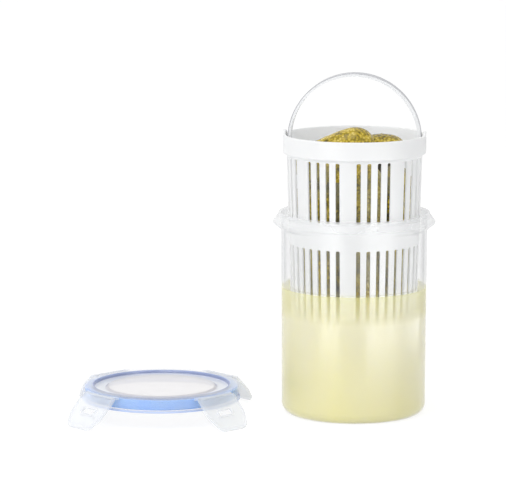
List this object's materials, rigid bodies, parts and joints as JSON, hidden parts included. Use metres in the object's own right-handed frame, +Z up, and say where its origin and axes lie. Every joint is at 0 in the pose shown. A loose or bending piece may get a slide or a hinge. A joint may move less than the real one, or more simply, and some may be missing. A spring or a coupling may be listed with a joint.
{
  "type": "pickle keeper with lift strainer",
  "caption": "Tall round keeper with a slotted strainer basket that lifts out on a bail, and a clear flap-lock lid with a soft seal standing beside it.",
  "frame": {"origin": "on the table under the middle of the container, on the container's axis", "axes": "+Z up along the container's axis, +X to the right away from the lid that stands at the left, -Y towards the front"},
  "size_m": [0.2934, 0.1524, 0.2774],
  "materials": {
    "clear_body": "natural polypropylene, slightly frosted",
    "white_plastic": "moulded white polypropylene, soft gloss",
    "clear_lid": "clear polypropylene, glossy",
    "blue_seal": "blue silicone, satin"
  },
  "bodies": {
    "container": {"container": "clear_body"},
    "basket": {"strainer_basket": "white_plastic"},
    "bail": {"bail_handle": "white_plastic"},
    "lid": {"lid_panel": "clear_lid", "lid_seal": "blue_seal"},
    "front_left_flap": {"flap_front_left": "clear_lid"},
    "front_right_flap": {"flap_front_right": "clear_lid"},
    "back_right_flap": {"flap_back_right": "clear_lid"},
    "back_left_flap": {"flap_back_left": "clear_lid"}
  },
  "joints": [
    {"name": "basket_lift", "type": "slide", "parent": "container", "child": "basket", "axis": [0, 0, 1], "range_m": [-0.0623, 0.1]},
    {"name": "bail_swing", "type": "hinge", "parent": "basket", "child": "bail", "pos_m": [0, 0, 0.2235], "axis": [0.9962, -0.0872, 0], "range_deg": [-90, 90]},
    {"name": "lid_lift", "type": "slide", "parent": "container", "child": "lid", "axis": [0, 0, 1], "range_m": [0, 0.2]},
    {"name": "flap_front_left_hinge", "type": "hinge", "parent": "lid", "child": "front_left_flap", "pos_m": [-0.20221, -0.06121, 0.02387], "axis": [-0.7071, 0.7071, 0], "range_deg": [-40.5, 75]},
    {"name": "flap_front_right_hinge", "type": "hinge", "parent": "lid", "child": "front_right_flap", "pos_m": [-0.10979, -0.06121, 0.02387], "axis": [-0.7071, -0.7071, 0], "range_deg": [-40.5, 75]},
    {"name": "flap_back_right_hinge", "type": "hinge", "parent": "lid", "child": "back_right_flap", "pos_m": [-0.10979, 0.03121, 0.02387], "axis": [0.7071, -0.7071, 0], "range_deg": [-40.5, 75]},
    {"name": "flap_back_left_hinge", "type": "hinge", "parent": "lid", "child": "back_left_flap", "pos_m": [-0.20221, 0.03121, 0.02387], "axis": [0.7071, 0.7071, 0], "range_deg": [-40.5, 75]}
  ]
}
